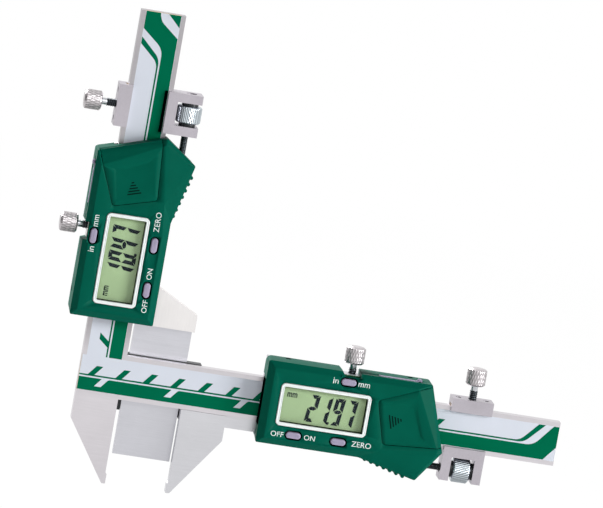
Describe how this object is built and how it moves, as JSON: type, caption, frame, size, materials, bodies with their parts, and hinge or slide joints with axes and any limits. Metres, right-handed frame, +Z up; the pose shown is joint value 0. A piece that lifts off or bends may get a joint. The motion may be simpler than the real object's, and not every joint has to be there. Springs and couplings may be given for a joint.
{
  "type": "electronic gear tooth caliper",
  "caption": "L-shaped steel caliper with two digital sliders: jaws measure gear tooth thickness while a blade on the upright beam sets the height.",
  "frame": {"origin": "where both readings are zero: on the fixed jaw's measuring face at the jaw's tip, in the mid-plane of the beams", "axes": "+X along the thickness beam away from the fixed jaw, +Z up along the height beam, the displays face -Y"},
  "size_m": [0.1909, 0.0172, 0.171],
  "materials": {
    "steel": "fine ground stainless steel",
    "nickel": "satin nickel plate",
    "black_steel": "blackened steel",
    "bronze": "phosphor bronze",
    "brass": "plain brass",
    "green_plastic": "moulded plastic, satin",
    "label": "printed plastic film",
    "silver_white": "glossy plastic",
    "lavender": "soft rubber",
    "lcd": "liquid crystal display",
    "clear": "clear acrylic",
    "board": "circuit board lacquer"
  },
  "bodies": {
    "frame": {"main_frame": "steel", "thickness_scale_strip": "brass", "height_scale_strip": "brass", "thickness_label": "label", "height_label": "label", "blade_guide": "black_steel", "guide_screws": "steel"},
    "thickness_slider": {"thickness_jaw_slider": "steel", "thickness_gib": "bronze", "thickness_gib_screws": "steel", "thickness_housing": "green_plastic", "thickness_case_screws": "steel", "thickness_circuit_board": "board", "thickness_lcd_panel": "lcd", "thickness_display_bezel": "silver_white", "thickness_display_window": "clear", "thickness_battery": "nickel", "thickness_battery_contacts": "brass", "thickness_feed_rod": "black_steel"},
    "thickness_clamp": {"thickness_clamp_block": "steel", "thickness_clamp_gib": "bronze", "thickness_clamp_set_screws": "black_steel"},
    "thickness_nut": {"thickness_feed_nut": "nickel"},
    "thickness_lock": {"thickness_lock_screw": "nickel"},
    "thickness_clamp_lock": {"thickness_clamp_lock_screw": "nickel"},
    "thickness_unit_key": {"thickness_unit_button": "lavender"},
    "thickness_power_key": {"thickness_power_button": "lavender"},
    "thickness_zero_key": {"thickness_zero_button": "lavender"},
    "thickness_battery_door": {"thickness_battery_cover": "green_plastic"},
    "thickness_port_door": {"thickness_port_cover": "lavender"},
    "height_slider": {"height_arm_slider": "steel", "height_blade": "steel", "blade_screws": "steel", "height_gib": "bronze", "height_gib_screws": "steel", "height_housing": "green_plastic", "height_case_screws": "steel", "height_circuit_board": "board", "height_lcd_panel": "lcd", "height_display_bezel": "silver_white", "height_display_window": "clear", "height_battery": "nickel", "height_battery_contacts": "brass", "height_feed_rod": "black_steel"},
    "height_clamp": {"height_clamp_block": "steel", "height_clamp_gib": "bronze", "height_clamp_set_screws": "black_steel"},
    "height_nut": {"height_feed_nut": "nickel"},
    "height_lock": {"height_lock_screw": "nickel"},
    "height_clamp_lock": {"height_clamp_lock_screw": "nickel"},
    "height_unit_key": {"height_unit_button": "lavender"},
    "height_power_key": {"height_power_button": "lavender"},
    "height_zero_key": {"height_zero_button": "lavender"},
    "height_battery_door": {"height_battery_cover": "green_plastic"},
    "height_port_door": {"height_port_cover": "lavender"}
  },
  "joints": [
    {"name": "thickness_slide", "type": "slide", "parent": "frame", "child": "thickness_slider", "axis": [1, 0, 0], "range_m": [-0.02196, 0.022]},
    {"name": "thickness_feed", "type": "slide", "parent": "thickness_slider", "child": "thickness_clamp", "axis": [1, 0, 0], "range_m": [-0.001, 0.003]},
    {"name": "thickness_nut_turn", "type": "hinge", "parent": "thickness_clamp", "child": "thickness_nut", "pos_m": [0.12605, 0, 0.024], "axis": [1, 0, 0], "range_deg": [-720, 2160]},
    {"name": "thickness_lock_turn", "type": "hinge", "parent": "thickness_slider", "child": "thickness_lock", "pos_m": [0.0813, 0, 0.059], "axis": [0, 0, 1], "range_deg": [0, 360]},
    {"name": "thickness_clamp_lock_turn", "type": "hinge", "parent": "thickness_clamp", "child": "thickness_clamp_lock", "pos_m": [0.12605, 0, 0.059], "axis": [0, 0, 1], "range_deg": [0, 360]},
    {"name": "thickness_unit_press", "type": "slide", "parent": "thickness_slider", "child": "thickness_unit_key", "axis": [0, 1, 0], "range_m": [0, 0.0004], "stiffness_N_per_m": 800, "springref_m": -0.0003},
    {"name": "thickness_power_press", "type": "slide", "parent": "thickness_slider", "child": "thickness_power_key", "axis": [0, 1, 0], "range_m": [0, 0.0004], "stiffness_N_per_m": 800, "springref_m": -0.0003},
    {"name": "thickness_zero_press", "type": "slide", "parent": "thickness_slider", "child": "thickness_zero_key", "axis": [0, 1, 0], "range_m": [0, 0.0004], "stiffness_N_per_m": 800, "springref_m": -0.0003},
    {"name": "thickness_battery_cover_slide", "type": "slide", "parent": "thickness_slider", "child": "thickness_battery_door", "axis": [0.96, 0, 0.28], "range_m": [0, 0.014]},
    {"name": "thickness_port_cover_pull", "type": "slide", "parent": "thickness_slider", "child": "thickness_port_door", "axis": [0, 0, 1], "range_m": [0, 0.004]},
    {"name": "height_slide", "type": "slide", "parent": "frame", "child": "height_slider", "axis": [0, 0, 1], "range_m": [-0.01047, 0.024]},
    {"name": "height_feed", "type": "slide", "parent": "height_slider", "child": "height_clamp", "axis": [0, 0, 1], "range_m": [-0.001, 0.003]},
    {"name": "height_nut_turn", "type": "hinge", "parent": "height_clamp", "child": "height_nut", "pos_m": [0.007, 0, 0.13625], "axis": [0, 0, 1], "range_deg": [-720, 2160]},
    {"name": "height_lock_turn", "type": "hinge", "parent": "height_slider", "child": "height_lock", "pos_m": [-0.028, 0, 0.0915], "axis": [-1, 0, 0], "range_deg": [0, 360]},
    {"name": "height_clamp_lock_turn", "type": "hinge", "parent": "height_clamp", "child": "height_clamp_lock", "pos_m": [-0.028, 0, 0.13625], "axis": [-1, 0, 0], "range_deg": [0, 360]},
    {"name": "height_unit_press", "type": "slide", "parent": "height_slider", "child": "height_unit_key", "axis": [0, 1, 0], "range_m": [0, 0.0004], "stiffness_N_per_m": 800, "springref_m": -0.0003},
    {"name": "height_power_press", "type": "slide", "parent": "height_slider", "child": "height_power_key", "axis": [0, 1, 0], "range_m": [0, 0.0004], "stiffness_N_per_m": 800, "springref_m": -0.0003},
    {"name": "height_zero_press", "type": "slide", "parent": "height_slider", "child": "height_zero_key", "axis": [0, 1, 0], "range_m": [0, 0.0004], "stiffness_N_per_m": 800, "springref_m": -0.0003},
    {"name": "height_battery_cover_slide", "type": "slide", "parent": "height_slider", "child": "height_battery_door", "axis": [-0.28, 0, 0.96], "range_m": [0, 0.014]},
    {"name": "height_port_cover_pull", "type": "slide", "parent": "height_slider", "child": "height_port_door", "axis": [-1, 0, 0], "range_m": [0, 0.004]}
  ],
  "couplings": [
    {"joint": "thickness_nut_turn", "follows": "thickness_feed", "rad_per_m": 12566},
    {"joint": "height_nut_turn", "follows": "height_feed", "rad_per_m": 12566}
  ]
}
